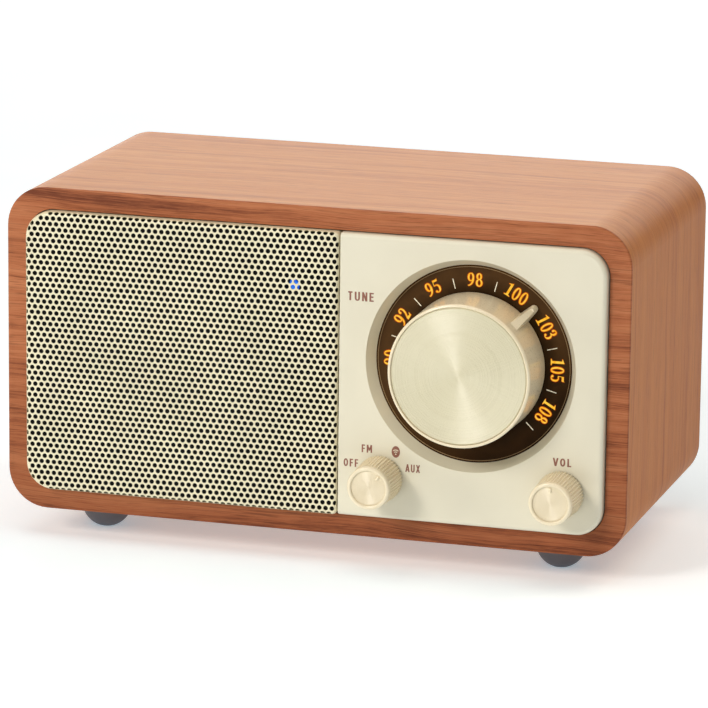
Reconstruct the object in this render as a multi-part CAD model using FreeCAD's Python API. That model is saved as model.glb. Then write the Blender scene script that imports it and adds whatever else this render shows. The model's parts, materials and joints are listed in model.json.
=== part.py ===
import FreeCAD, Part

import math
import os

# Compact table radio in a veneered wooden cabinet: loudspeaker behind a perforated grille on
# the left, lit tuning dial and three knobs on the right. One STEP file per physical piece.
#
# Millimetres. The radio faces -Y, +X is to its right as seen from the front and +Z is up.
# The origin is the centre of its bounding box, on the surface that its feet stand on.
# "Depth" means the distance behind the wooden front face, so what stands proud is negative.
# "Height" in the front layout is counted from the middle of the cabinet.

V = FreeCAD.Vector

# Cabinet
WIDTH = 150.0
HEIGHT = 77.2
DEPTH = 76.0
CORNER_R = 9.5
RIM = 5.0
OPENING_R = 6.6
VENEER = 0.6
LEDGE = 1.0
EDGE_R = 0.4

# Feet
FOOT_R = 6.0
FOOT_FLAT_R = 2.15
FOOT_HEIGHT = 7.05
FOOT_X = 56.0
FOOT_INSET = 16.0
STEM_R = 2.0
STEM_LENGTH = 4.0

# Front: grille on the left, control panel on the right
PROUD = 2.0
GRILLE_PROUD = 2.5
GAP = 0.25
BAFFLE_FRONT = 3.0
BAFFLE_BACK = 6.0
SEAM_X = 6.75
GRILLE_T = 0.6
GRILLE_EDGE_R = 0.9
HOLE_R = 0.5
HOLE_PITCH = 1.52
HOLE_MARGIN = 1.55
CLOTH_T = 0.4
PANEL_T = 2.0
PANEL_EDGE_R = 1.1
PANEL_SEAM_R = 0.3

# Dial
DIAL_X = 38.15
DIAL_HEIGHT = 4.3
DISH_R = 24.85
DIAL_R = 23.2
DIAL_DEPTH = 1.05
DIAL_T = 1.0
DIAL_SEAT_R = 24.4
DIAL_HOLE_R = 4.5
DIFFUSER_T = 2.8

# Tuning knob
KNOB_R = 16.9
KNOB_FACE_R = 16.7
KNOB_PROUD = 10.3
KNOB_BACK = DIAL_DEPTH - 0.5
KNOB_ROUND_R = 0.55
INSERT_R = 16.0
POINTER_REST = 45.0
POINTER_TIP_R = 20.85

# Small knobs: a selector on the left and a volume control on the right
SELECTOR_X = 17.1
VOLUME_X = 60.0
SMALL_HEIGHT = -23.75
SMALL_R = 5.5
SMALL_FACE_R = 5.05
SMALL_PROUD = 10.0
SMALL_RIM_R = 4.1
FLUTES = 44
FLUTE_R = 0.27
SELECTOR_REST = 41.0
VOLUME_REST = 0.0

# Controls behind the panel
SHAFT_R = 3.0
RUNNING_CLEARANCE = 0.05
SEAT_CLEARANCE = 0.02
BUSHING_R = 4.4
NUT_R = 5.8
BOARD_FRONT = 9.0
BOARD_T = 1.6

# Loudspeaker
SPEAKER_X = -31.5
BASKET_R = 29.5
BAFFLE_HOLE_R = 25.5
CONE_R = 19.0
COIL_R = 8.0
MAGNET_R = 20.0
SPEAKER_SCREW_R = 27.6
SCREW_R = 0.9

# Status lamp behind the grille
LAMP_X = -4.4
LAMP_HEIGHT = 20.1

# Rear panel and its sockets
REAR_PANEL_FRONT = 71.5
REAR_PANEL_T = 2.5
JACK_X = 44.0
JACK_BORE_R = 1.8
USB_X = 30.0
CHARGE_LAMP_X = 21.0
GLAND_X = 60.0
GLAND_HEIGHT = 4.0
GLAND_BORE_R = 1.1

# Main board and battery, on the cabinet floor
MAIN_BOARD_X = (7.0, 56.0)
MAIN_BOARD_DEPTH = (31.0, 70.5)
STANDOFF_H = 5.0
CELL_R = 9.2
CELL_LENGTH = 65.0
CELL_DEPTH = 50.0

# Places that follow from the sizes above
MID_Z = FOOT_HEIGHT + HEIGHT / 2
TOTAL_DEPTH = PROUD + KNOB_PROUD + DEPTH
FRONT_Y = PROUD + KNOB_PROUD - TOTAL_DEPTH / 2
HOLLOW_X = WIDTH / 2 - RIM - LEDGE
HOLLOW_Z = HEIGHT / 2 - RIM - LEDGE
FLOOR_Z = MID_Z - HOLLOW_Z
BOARD_Z = FLOOR_Z + STANDOFF_H
BOARD_TOP = BOARD_Z + BOARD_T
DIAL = (DIAL_X, MID_Z + DIAL_HEIGHT)
SELECTOR = (SELECTOR_X, MID_Z + SMALL_HEIGHT)
VOLUME = (VOLUME_X, MID_Z + SMALL_HEIGHT)
SPEAKER = (SPEAKER_X, MID_Z)
LAMP = (LAMP_X, MID_Z + LAMP_HEIGHT)
BEHIND = V(0, 1, 0)
AHEAD = V(0, -1, 0)
DOWN = V(0, 0, -1)


# ---------------------------------------------------------------- helpers

def save(name, *solids):
    """Write one piece, or one group of identical pieces, to its own file."""
    shape = solids[0] if len(solids) == 1 else Part.makeCompound(list(solids))
    shape.exportStep(f"parts/{name}.step")


def at(centre, depth):
    """Point on the line through a front-layout centre, at a depth."""
    return V(centre[0], FRONT_Y + depth, centre[1])


def on_clock(centre, radius, degrees):
    """Place at a clock angle round a centre, clockwise from the top as seen from the front."""
    turn = math.radians(degrees)
    return centre[0] + radius * math.sin(turn), centre[1] + radius * math.cos(turn)


def turned(shape, centre, degrees):
    """The shape turned clockwise, as seen from the front, about a centre."""
    shape = shape.copy()
    shape.rotate(at(centre, 0), BEHIND, degrees)
    return shape


def rod(centre, radius, start, end):
    """Round bar along Y between two depths."""
    return Part.makeCylinder(radius, end - start, at(centre, start), BEHIND)


def tube(centre, outer, inner, start, end):
    return rod(centre, outer, start, end).cut(rod(centre, inner, start - 1, end + 1))


def box(x, depths, z):
    """Box between two values of X, of depth and of Z."""
    return Part.makeBox(x[1] - x[0], depths[1] - depths[0], z[1] - z[0],
                        V(x[0], FRONT_Y + depths[0], z[0]))


def closed_wire(path, place):
    """Wire through 2-D points; an entry (via, end) is an arc from the point before it."""
    start = place(*path[0])
    here = start
    edges = []
    for step in path[1:]:
        if isinstance(step[0], tuple):
            end = place(*step[1])
            edges.append(Part.Arc(here, place(*step[0]), end).toShape())
        else:
            end = place(*step)
            edges.append(Part.LineSegment(here, end).toShape())
        here = end
    if here.distanceToPoint(start) > 1e-6:
        edges.append(Part.LineSegment(here, start).toShape())
    return Part.Wire(edges)


def lathe(centre, path):
    """Solid of revolution about the line along Y through a centre, from (radius, depth) points."""
    wire = closed_wire(path, lambda radius, depth: V(centre[0] + radius, FRONT_Y + depth, centre[1]))
    solid = Part.Face(wire).revolve(at(centre, 0), BEHIND, 360)
    if solid.Volume < 0:
        solid.reverse()
    return solid


def outline(x, z, radii):
    """Rounded rectangle in the X-Z plane as path points, radii from the bottom left, anticlockwise."""
    path = []
    corners = [(x[0], z[0], 1, 1), (x[1], z[0], -1, 1), (x[1], z[1], -1, -1), (x[0], z[1], 1, -1)]
    for (cx, cz, sx, sz), r in zip(corners, radii):
        if r == 0:
            path.append((cx, cz))
            continue
        beside, above = (cx + sx * r, cz), (cx, cz + sz * r)
        first, last = (above, beside) if sx == sz else (beside, above)
        back = r * (1 - math.sqrt(0.5))
        path.append(first)
        path.append(((cx + sx * back, cz + sz * back), last))
    return path


def slab(x, z, radii, depths):
    """Plate with rounded corners, standing in the X-Z plane between two depths."""
    wire = closed_wire(outline(x, z, radii), lambda px, pz: V(px, FRONT_Y + depths[0], pz))
    return Part.Face(wire).extrude(V(0, depths[1] - depths[0], 0))


def centred_slab(half_x, half_z, radius, depths):
    return slab((-half_x, half_x), (MID_Z - half_z, MID_Z + half_z), [radius] * 4, depths)


def edges_at(shape, depth):
    """Edges that lie wholly at one depth."""
    y = FRONT_Y + depth
    return [e for e in shape.Edges
            if abs(e.BoundBox.YMin - y) < 1e-4 and abs(e.BoundBox.YMax - y) < 1e-4]


def soften(shape, depth, radius):
    """Round every edge that lies wholly at one depth."""
    return shape.makeFillet(radius, edges_at(shape, depth))


def screw(seat, direction, head_r, shank_r, length):
    """Pan-head cross-recess screw: the head sits on the seat and the shank runs in a direction."""
    head_h = 0.6 * head_r
    head = Part.makeCylinder(head_r, head_h, V(0, 0, -head_h))
    head = head.makeFillet(0.45 * head_h, [e for e in head.Edges if e.BoundBox.ZMax < -0.9 * head_h])
    slot = Part.makeBox(head_r, 0.3 * head_r, head_h, V(-0.5 * head_r, -0.15 * head_r, -1.5 * head_h))
    cross = slot.copy()
    cross.rotate(V(0, 0, 0), V(0, 0, 1), 90)
    piece = head.cut(slot).cut(cross).fuse(Part.makeCylinder(shank_r, length))
    piece.Placement = FreeCAD.Placement(seat, FreeCAD.Rotation(V(0, 0, 1), direction))
    return piece


def wire_lead(points, radius):
    """Insulated wire of straight runs joined by tangent arcs that are as large as the runs allow."""
    points = [V(*p) for p in points]
    edges = []
    here = points[0]
    for before, corner, after in zip(points, points[1:], points[2:]):
        back, on = (before - corner), (after - corner)
        shorter = min(back.Length, on.Length)
        back.normalize()
        on.normalize()
        half_turn = (math.pi - back.getAngle(on)) / 2
        reach = 0.45 * shorter
        bend = reach / math.tan(half_turn)
        start, end = corner + back * reach, corner + on * reach
        middle = back + on
        middle.normalize()
        via = corner + middle * (bend / math.cos(half_turn) - bend)
        edges.append(Part.LineSegment(here, start).toShape())
        edges.append(Part.Arc(start, via, end).toShape())
        here = end
    edges.append(Part.LineSegment(here, points[-1]).toShape())
    path = Part.Wire(edges)
    section = Part.Wire([Part.makeCircle(radius, points[0], points[1] - points[0])])
    return path.makePipeShell([section], True, True)


# ---------------------------------------------------------------- cabinet

def make_cabinet():
    half_x, half_z = WIDTH / 2, HEIGHT / 2
    core_depths = (VENEER, DEPTH - VENEER)
    opening = centred_slab(half_x - RIM, half_z - RIM, OPENING_R, (-1, DEPTH + 1))
    front_rebate = centred_slab(half_x - RIM, half_z - RIM, OPENING_R, (-1, BAFFLE_BACK))
    rear_rebate = centred_slab(half_x - RIM, half_z - RIM, OPENING_R, (REAR_PANEL_FRONT, DEPTH + 1))
    hollow = centred_slab(HOLLOW_X, HOLLOW_Z, OPENING_R - LEDGE, (-1, DEPTH + 1))
    core_block = centred_slab(half_x - VENEER, half_z - VENEER, CORNER_R - VENEER, core_depths)
    stems = [Part.makeCylinder(STEM_R + GAP / 5, STEM_LENGTH + GAP, V(x, y, FOOT_HEIGHT))
             for x, y in foot_places()]
    core = core_block.cut([hollow, front_rebate, rear_rebate] + stems)
    save("cabinet_core", core)

    wrap = centred_slab(half_x, half_z, CORNER_R, core_depths)
    save("wrap_veneer", wrap.cut([core_block] + stems))

    for name, depths, edge in [("front_veneer", (0, VENEER), 0),
                               ("rear_veneer", (DEPTH - VENEER, DEPTH), DEPTH)]:
        ring = soften(centred_slab(half_x, half_z, CORNER_R, depths), edge, EDGE_R)
        save(name, ring.cut(opening))

    size = 10.0
    cleat_depths = (REAR_PANEL_FRONT - size, REAR_PANEL_FRONT)
    blocks = []
    for sx, sz in corner_signs():
        x = sorted([sx * HOLLOW_X, sx * (HOLLOW_X - size)])
        z = sorted([MID_Z + sz * HOLLOW_Z, MID_Z + sz * (HOLLOW_Z - size)])
        block = box(x, cleat_depths, z).common(hollow)
        blocks.append(block.cut(rod(rear_screw_place(sx, sz), 1.45, cleat_depths[0] - 1, DEPTH)))
    save("rear_corner_blocks", *blocks)


def corner_signs():
    return [(sx, sz) for sx in (-1, 1) for sz in (-1, 1)]


def rear_screw_place(sx, sz):
    inset = 5.5
    return sx * (HOLLOW_X - inset), MID_Z + sz * (HOLLOW_Z - inset)


def foot_places():
    depths = (FOOT_INSET, DEPTH - FOOT_INSET)
    return [(sx * FOOT_X, FRONT_Y + depth) for sx in (-1, 1) for depth in depths]


def make_feet():
    names = ["foot_front_left", "foot_rear_left", "foot_front_right", "foot_rear_right"]
    round_top = math.sqrt(FOOT_R ** 2 - FOOT_FLAT_R ** 2)
    via = (FOOT_R * math.cos(0.6), round_top - FOOT_R * math.sin(0.6))
    profile = [(0, 0), (FOOT_FLAT_R, 0), (via, (FOOT_R, round_top)), (FOOT_R, FOOT_HEIGHT),
               (STEM_R, FOOT_HEIGHT), (STEM_R, FOOT_HEIGHT + STEM_LENGTH), (0, FOOT_HEIGHT + STEM_LENGTH)]
    for name, (x, y) in zip(names, foot_places()):
        half = Part.Face(closed_wire(profile, lambda radius, z: V(x + radius, y, z)))
        save(name, half.revolve(V(x, y, 0), V(0, 0, 1), 360))


# ---------------------------------------------------------------- front

def front_field(x, depths, radii, gap=GAP):
    """Plate that fills the front opening between two values of X, less a gap all round."""
    half_z = HEIGHT / 2 - RIM - gap
    return slab(x, (MID_Z - half_z, MID_Z + half_z), radii, depths)


def make_baffle():
    edge = WIDTH / 2 - RIM - GAP
    board = front_field((-edge, edge), (BAFFLE_FRONT, BAFFLE_BACK), [OPENING_R - GAP] * 4)
    openings = [rod(SPEAKER, BAFFLE_HOLE_R, 0, 10), rod(DIAL, DIAL_R + GAP, 0, 10),
                rod(SELECTOR, SHAFT_R + 1.5, 0, 10), rod(VOLUME, SHAFT_R + 1.5, 0, 10),
                rod(LAMP, 1.6, 0, 10)]
    openings += [rod(place, SCREW_R + 0.2, 0, 10) for place in panel_screw_places()]
    openings += [rod(place, SCREW_R + 0.05, 0, 10) for place in post_places() + speaker_screw_places()]
    posts = [rod(place, 2.4, BAFFLE_BACK, BOARD_FRONT) for place in post_places()]
    save("front_baffle", board.fuse(posts).cut(openings))


def make_grille():
    left, right = -(WIDTH / 2 - RIM - GAP), SEAM_X - GAP / 2
    corner = OPENING_R - GAP
    radii = [corner, 0, 0, corner]
    inner_radii = [corner - GRILLE_T, 0, 0, corner - GRILLE_T]
    front, inside = -GRILLE_PROUD, -GRILLE_PROUD + GRILLE_T
    shell = soften(front_field((left, right), (front, BAFFLE_FRONT), radii), front, GRILLE_EDGE_R)
    cavity = front_field((left + GRILLE_T, right - GRILLE_T), (inside, BAFFLE_FRONT), inner_radii,
                         GAP + GRILLE_T)
    cavity = soften(cavity, inside, GRILLE_EDGE_R - GRILLE_T)
    margin = GRILLE_EDGE_R + 0.1
    flat_x = (left + margin, right - margin)
    flat_radii = [corner - margin, 0, 0, corner - margin]
    field = front_field(flat_x, (front, inside), flat_radii, GAP + margin)
    rim = shell.cut([cavity, field])
    half_z = HEIGHT / 2 - RIM - GAP - margin
    path = outline(flat_x, (MID_Z - half_z, MID_Z + half_z), flat_radii)
    edge = closed_wire(path, lambda x, z: V(x, FRONT_Y + front, z))
    holes = [Part.Wire([Part.makeCircle(HOLE_R, at(place, front), BEHIND)])
             for place in grille_holes(left, right, corner)]
    sheet = Part.Face([edge] + holes).extrude(V(0, GRILLE_T, 0))
    save("grille", sheet.fuse(rim))

    reach = GRILLE_T + 0.3
    cloth = front_field((left + reach, right - reach), (inside, inside + CLOTH_T),
                        [corner - reach, 0, 0, corner - reach], GAP + reach)
    cloth = cloth.common(cavity)
    save("grille_cloth", cloth.cut(rod(LAMP, 1.6, -3, 3)))


def grille_holes(left, right, corner):
    """Centres of the staggered holes, kept a margin inside the grille's rounded outline."""
    row_pitch = HOLE_PITCH * math.sqrt(3) / 2
    middle_x = (left + right) / 2
    half_x, half_z = (right - left) / 2 - HOLE_MARGIN, HEIGHT / 2 - RIM - GAP - HOLE_MARGIN
    rows, columns = int(half_z / row_pitch), int(half_x / HOLE_PITCH)
    inner_r = corner - HOLE_MARGIN
    places = []
    for row in range(-rows, rows + 1):
        for column in range(-columns, columns + 1):
            x = HOLE_PITCH * (column + 0.5 * (row % 2))
            z = row_pitch * row
            over_x, over_z = -x - (half_x - inner_r), abs(z) - (half_z - inner_r)
            past_corner = over_x > 0 and over_z > 0 and math.hypot(over_x, over_z) > inner_r
            if x <= half_x and not past_corner:
                places.append((middle_x + x, MID_Z + z))
    return places


def panel_screw_places():
    return [(x, MID_Z + z) for x in (11.3, 64.8) for z in (-9.0, 28.5)]


def make_control_panel():
    left, right = SEAM_X + GAP / 2, WIDTH / 2 - RIM - GAP
    corner = OPENING_R - GAP
    front, inside, wall = -PROUD, -PROUD + PANEL_T, 1.5
    blank = front_field((left, right), (front, BAFFLE_FRONT), [0, corner, corner, 0])
    rolled = [e for e in edges_at(blank, front) if e.BoundBox.XMax > left + 0.01]
    body = blank.makeFillet(PANEL_EDGE_R, rolled)
    seam = [e for e in edges_at(body, front) if e.BoundBox.XMax < left + 0.01]
    body = body.makeFillet(PANEL_SEAM_R, seam)
    cavity = front_field((left + wall, right - wall), (inside, BAFFLE_FRONT + 1),
                         [0, corner - wall, corner - wall, 0], GAP + wall)
    cavity = cavity.cut([rod(DIAL, DIAL_SEAT_R + 1.4, 0, 10)]
                        + [rod(place, 2.2, 0, 10) for place in panel_screw_places()])
    dish = lathe(DIAL, [(0, front - 1), (DISH_R, front - 1), (DISH_R, front), (DIAL_R, DIAL_DEPTH),
                        (DIAL_SEAT_R, DIAL_DEPTH), (DIAL_SEAT_R, BAFFLE_FRONT + 1),
                        (0, BAFFLE_FRONT + 1)])
    holes = [rod(SELECTOR, SHAFT_R + 0.4, -5, 5), rod(VOLUME, SHAFT_R + 0.4, -5, 5)]
    pilots = [rod(place, SCREW_R + 0.05, 0.8, 5) for place in panel_screw_places()]
    save("control_panel", body.cut([cavity, dish] + holes + pilots))


def make_dial():
    back = DIAL_DEPTH + DIAL_T
    bevel = 0.2
    scale = lathe(DIAL, [(DIAL_HOLE_R, DIAL_DEPTH), (DIAL_SEAT_R - 0.1 - bevel, DIAL_DEPTH),
                         (DIAL_SEAT_R - 0.1, DIAL_DEPTH + bevel), (DIAL_SEAT_R - 0.1, back),
                         (DIAL_HOLE_R, back)])
    save("dial_scale", scale)
    save("dial_diffuser", tube(DIAL, DIAL_R, DIAL_HOLE_R + 3.5, back, back + DIFFUSER_T))
    lamps = []
    for hour in range(-4, 5):
        place = on_clock(DIAL, 19.7, 30 * hour)
        lamp = box((place[0] - 0.8, place[0] + 0.8), (BOARD_FRONT - 1.0, BOARD_FRONT),
                   (place[1] - 0.8, place[1] + 0.8))
        lamps.append(lamp)
    save("dial_lamps", *lamps)


# ---------------------------------------------------------------- knobs and controls

def shaft_bore(centre, end):
    return rod(centre, SHAFT_R + SEAT_CLEARANCE, end, 20)


def make_tuning_knob():
    front = -PROUD - KNOB_PROUD
    floor, wall = front + 0.6, 1.6
    round_r = KNOB_ROUND_R
    slope = (KNOB_R - KNOB_FACE_R) / (KNOB_BACK - front)
    side_r = KNOB_FACE_R + slope * round_r
    lip = round_r * (1 - math.sqrt(0.5))
    body = lathe(DIAL, [
        (0, floor), (INSERT_R, floor), (INSERT_R, front + 0.15), (INSERT_R + 0.15, front),
        (side_r - round_r, front), ((side_r - lip, front + lip), (side_r, front + round_r)),
        (KNOB_R, KNOB_BACK), (KNOB_R - wall, KNOB_BACK), (KNOB_FACE_R - wall, floor + 1.8),
        (5.2, floor + 1.8), (5.2, -1.0), (0, -1.0)])
    body = body.fuse(turned(pointer(), DIAL, POINTER_REST))
    save("tuning_knob", body.cut(shaft_bore(DIAL, floor + 1.5)))
    insert = lathe(DIAL, [(0, floor - 0.45), (INSERT_R - 0.3, floor - 0.45),
                          (INSERT_R - 0.1, floor - 0.25), (INSERT_R - 0.1, floor), (0, floor)])
    save("tuning_knob_face", insert)
    save("tuning_shaft", rod(DIAL, SHAFT_R, floor + 1.6, BOARD_FRONT + BOARD_T + 4))


def pointer():
    """Wedge from the knob's rim down to the dial, pointing straight up; its nose is rounded."""
    nose_r = 0.92

    def section(reach, base, top, top_depth):
        z = DIAL[1] + reach
        corners = [V(DIAL[0] + x, FRONT_Y + depth, z)
                   for x, depth in [(-base, KNOB_BACK), (base, KNOB_BACK), (top, top_depth),
                                    (-top, top_depth)]]
        return Part.makePolygon(corners + corners[:1])

    nose = DIAL[1] + POINTER_TIP_R - nose_r
    root = section(KNOB_R - 1.4, 1.5, 1.28, -PROUD - KNOB_PROUD + 0.75)
    end = section(POINTER_TIP_R - nose_r, nose_r, 0.5, KNOB_BACK - 2.1)
    wedge = Part.makeLoft([root, end], True, True)
    tip = Part.makeCone(nose_r, 0.5, 2.1, V(DIAL[0], FRONT_Y + KNOB_BACK, nose), AHEAD)
    return wedge.fuse(tip)


def make_small_knob(prefix, centre, rest):
    """Fluted knob with a rounded rim, a recessed face and a raised index mark."""
    back, front = -PROUD - 0.4, -PROUD - SMALL_PROUD
    floor = front + 0.5
    body = lathe(centre, [
        (0, floor), (SMALL_RIM_R, floor), (SMALL_RIM_R, front + 0.3),
        ((SMALL_RIM_R + 0.12, front + 0.08), (SMALL_RIM_R + 0.4, front)),
        ((SMALL_FACE_R - 0.14, front + 0.16), (SMALL_FACE_R, front + 0.6)),
        (SMALL_R, back), (0, back)])
    groove = (centre[0], centre[1] + SMALL_R - 0.02)
    draft = math.degrees(math.atan2(SMALL_R - SMALL_FACE_R, back - front))
    flute = rod(groove, FLUTE_R, front + 1.15, back + 1)
    flute.rotate(at(groove, back), V(1, 0, 0), draft)
    flutes = [turned(flute, centre, 360 / FLUTES * count) for count in range(FLUTES)]
    body = body.cut([Part.makeCompound(flutes), shaft_bore(centre, floor + 1.2)])
    save(f"{prefix}_knob", body.fuse(turned(index_mark(centre, floor), centre, rest)))
    save(f"{prefix}_shaft", rod(centre, SHAFT_R, floor + 1.3, BOARD_FRONT + BOARD_T + 4))


def index_mark(centre, surface):
    """Short raised bar that points to the rim."""
    radius, inner, outer = 0.34, 2.95, 3.5
    ends = [Part.makeSphere(radius, at((centre[0], centre[1] + reach), surface - 0.05))
            for reach in (inner, outer)]
    bar = Part.makeCylinder(radius, outer - inner, at((centre[0], centre[1] + inner), surface - 0.05),
                            V(0, 0, 1))
    return bar.fuse(ends)


def control(centre, case):
    """Case of a switch, control or tuner with a threaded bushing that its shaft turns in."""
    nose = BOARD_FRONT - 4.5
    bushing = rod(centre, BUSHING_R - 0.8, nose, BOARD_FRONT + BOARD_T)
    bore = rod(centre, SHAFT_R + RUNNING_CLEARANCE, nose - 1, BOARD_FRONT + BOARD_T + 1)
    well = rod(centre, SHAFT_R + 0.3, BOARD_FRONT + BOARD_T, BOARD_FRONT + BOARD_T + 4.5)
    return case.fuse(bushing).cut([bore, well])


def bushing_nut(centre):
    start, end = BOARD_FRONT - 2.0, BOARD_FRONT
    corners = [on_clock(centre, NUT_R, 60 * count) for count in range(7)]
    wire = Part.makePolygon([at(corner, start) for corner in corners])
    prism = Part.Face(wire).extrude(V(0, end - start, 0))
    return prism.cut(rod(centre, BUSHING_R - 0.75, start - 1, end + 1))


def make_controls():
    back = BOARD_FRONT + BOARD_T
    tuner = box((DIAL[0] - 10, DIAL[0] + 10), (back, back + 12), (DIAL[1] - 10, DIAL[1] + 10))
    save("tuning_capacitor", control(DIAL, tuner))
    switch = box((SELECTOR[0] - 6.5, SELECTOR[0] + 6.5), (back, back + 7),
                 (SELECTOR[1] - 7, SELECTOR[1] + 7))
    save("selector_switch", control(SELECTOR, switch))
    save("volume_control", control(VOLUME, rod(VOLUME, 7.0, back, back + 6)))
    save("bushing_nuts", *[bushing_nut(centre) for centre in (DIAL, SELECTOR, VOLUME)])


def post_places():
    return [(x, MID_Z + z) for x in (16.0, 60.3) for z in (-14.5, 27.5)]


def make_control_board():
    """Board behind the panel that carries the three controls and the lamps."""
    depths = (BOARD_FRONT, BOARD_FRONT + BOARD_T)
    board = slab((8.6, 67.4), (FLOOR_Z + 0.6, MID_Z + HOLLOW_Z - 0.6), [1, 5, 5, 1], depths)
    tab = slab((LAMP[0] - 3.2, 10), (LAMP[1] - 3.2, LAMP[1] + 3.2), [1, 0, 0, 1], depths)
    holes = [rod(centre, BUSHING_R - 0.7, 0, 20) for centre in (DIAL, SELECTOR, VOLUME)]
    holes += [rod(place, SCREW_R + 0.2, 0, 20) for place in post_places()]
    save("control_board", board.fuse(tab).cut(holes))


def make_small_screws():
    """The same self-tapping screw holds the panel, the loudspeaker and the control board."""
    seats = [at(place, BAFFLE_BACK) for place in panel_screw_places()]
    seats += [at(place, BAFFLE_BACK + 2) for place in speaker_screw_places()]
    seats += [at(place, BOARD_FRONT + BOARD_T) for place in post_places()]
    save("small_screws", *[screw(seat, AHEAD, 1.75, SCREW_R, 4.8) for seat in seats])


def make_status_lamp():
    lens = lathe(LAMP, [(0, -0.9), ((1.05, -0.45), (1.45, 0.6)), (1.45, BAFFLE_BACK), (1.9, BAFFLE_BACK),
                        (1.9, BAFFLE_BACK + 1), (0, BAFFLE_BACK + 1)])
    legs = [rod((LAMP[0] + side, LAMP[1]), 0.25, BAFFLE_BACK + 0.5, BOARD_FRONT) for side in (-0.9, 0.9)]
    save("status_lamp", lens.fuse(legs))


# ---------------------------------------------------------------- loudspeaker

def speaker_screw_places():
    return [on_clock(SPEAKER, SPEAKER_SCREW_R, 45 + 90 * quarter) for quarter in range(4)]


def make_speaker():
    flange, plate_front = BAFFLE_BACK + 1, 23.2
    gasket = tube(SPEAKER, BASKET_R, BAFFLE_HOLE_R + 0.1, BAFFLE_BACK, flange)
    screw_holes = [rod(place, 1.1, 0, 12) for place in speaker_screw_places()]
    save("speaker_gasket", gasket.cut(screw_holes))

    basket = lathe(SPEAKER, [
        (22.8, flange), (BASKET_R, flange), (BASKET_R, flange + 1), (23.8, flange + 1),
        (20.4, plate_front - 1), (20.4, plate_front), (10.9, plate_front), (10.9, plate_front - 1),
        (19.2, plate_front - 1), (20.05, 18.4), (16.2, 18.4), (16.2, 17.4), (20.3, 17.4),
        (22.8, flange + 1)])
    windows = []
    for quarter in range(4):
        window = box((SPEAKER[0] - 9, SPEAKER[0] + 9), (9.5, 16.6), (SPEAKER[1] + 15, SPEAKER[1] + 26))
        windows.append(turned(window, SPEAKER, 90 * quarter))
    save("speaker_basket", basket.cut(windows + screw_holes))

    cone_front, neck, paper = flange, 16.5, 0.5
    cone = [(CONE_R, cone_front), (CONE_R, cone_front + paper), (COIL_R + 0.1, neck + paper),
            (COIL_R + 0.1, neck)]
    save("speaker_cone", lathe(SPEAKER, cone))
    skin = cone_front - 0.4
    roll = [(CONE_R - 1.4, cone_front), (CONE_R - 1.4, skin), (CONE_R, skin),
            ((21.0, skin - 2.0), (23.0, skin)), (25.2, skin), (25.2, cone_front),
            (22.9, cone_front), ((21.0, cone_front - 1.95), (CONE_R + 0.1, cone_front))]
    save("speaker_surround", lathe(SPEAKER, roll))
    cap_r = 9.2
    cap_depth = neck - (cap_r - COIL_R) * (neck - cone_front) / (CONE_R - COIL_R) - 0.15
    cap_rise, cap_t = 2.8, 0.4
    ball_r = (cap_r ** 2 + cap_rise ** 2) / (2 * cap_rise)
    ball_centre = at(SPEAKER, cap_depth - cap_rise + ball_r)
    dome = Part.makeSphere(ball_r, ball_centre).cut(Part.makeSphere(ball_r - cap_t, ball_centre))
    save("speaker_dust_cap", dome.common(rod(SPEAKER, cap_r + 1, cap_depth - cap_rise - 1, cap_depth)))
    save("speaker_spider", tube(SPEAKER, 19.4, COIL_R + 0.15, 17.0, 17.4))
    former = tube(SPEAKER, COIL_R + 0.1, COIL_R - 0.1, neck - 0.8, plate_front + 4)
    winding = tube(SPEAKER, COIL_R + 0.45, COIL_R + 0.1, plate_front + 0.1, plate_front + 3.9)
    save("voice_coil", former.fuse(winding))

    plate_back, magnet_back = plate_front + 3, plate_front + 9
    save("speaker_top_plate", tube(SPEAKER, MAGNET_R - 1, COIL_R + 0.8, plate_front, plate_back))
    save("speaker_magnet", tube(SPEAKER, MAGNET_R, COIL_R + 3.5, plate_back, magnet_back))
    pole = rod(SPEAKER, COIL_R - 0.45, plate_front, magnet_back)
    save("speaker_yoke", rod(SPEAKER, MAGNET_R - 1, magnet_back, magnet_back + 3).fuse(pole))
    terminal = box((SPEAKER[0] + 20.5, SPEAKER[0] + 27), (17.5, 18.7), (SPEAKER[1] - 4, SPEAKER[1] + 4))
    save("speaker_terminal", terminal.cut(rod(SPEAKER, 21.7, 10, 30)))


# ---------------------------------------------------------------- inside the cabinet

def make_main_board():
    depths = MAIN_BOARD_DEPTH
    posts = [(x, depth) for x in (MAIN_BOARD_X[0] + 3.5, MAIN_BOARD_X[1] - 3.5)
             for depth in (depths[0] + 3.5, depths[1] - 7.0)]
    board = box(MAIN_BOARD_X, depths, (BOARD_Z, BOARD_TOP))
    holes = [Part.makeCylinder(1.3, 10, V(x, FRONT_Y + depth, BOARD_Z - 5)) for x, depth in posts]
    save("main_board", board.cut(holes))
    pillars = [Part.makeCylinder(2.5, STANDOFF_H, V(x, FRONT_Y + depth, FLOOR_Z)) for x, depth in posts]
    save("main_board_pillars", *[p.cut(holes) for p in pillars])
    save("main_board_screws", *[screw(V(x, FRONT_Y + depth, BOARD_TOP), DOWN, 2.1, 1.2, 4.5)
                                for x, depth in posts])
    on_board = (BOARD_TOP, BOARD_TOP + 3.2)
    save("tuner_shield", box((14, 32), (37, 51), on_board))
    save("wireless_module", box((38, 51), (36, 53), (BOARD_TOP, BOARD_TOP + 2.2)))
    save("amplifier_chip", box((16, 23), (54, 61), (BOARD_TOP, BOARD_TOP + 1.6)))
    cans = [Part.makeCylinder(3.15, 9, V(x, FRONT_Y + 56.5, BOARD_TOP)) for x in (28, 36.5, 51.2)]
    save("filter_capacitors", *cans)


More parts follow.
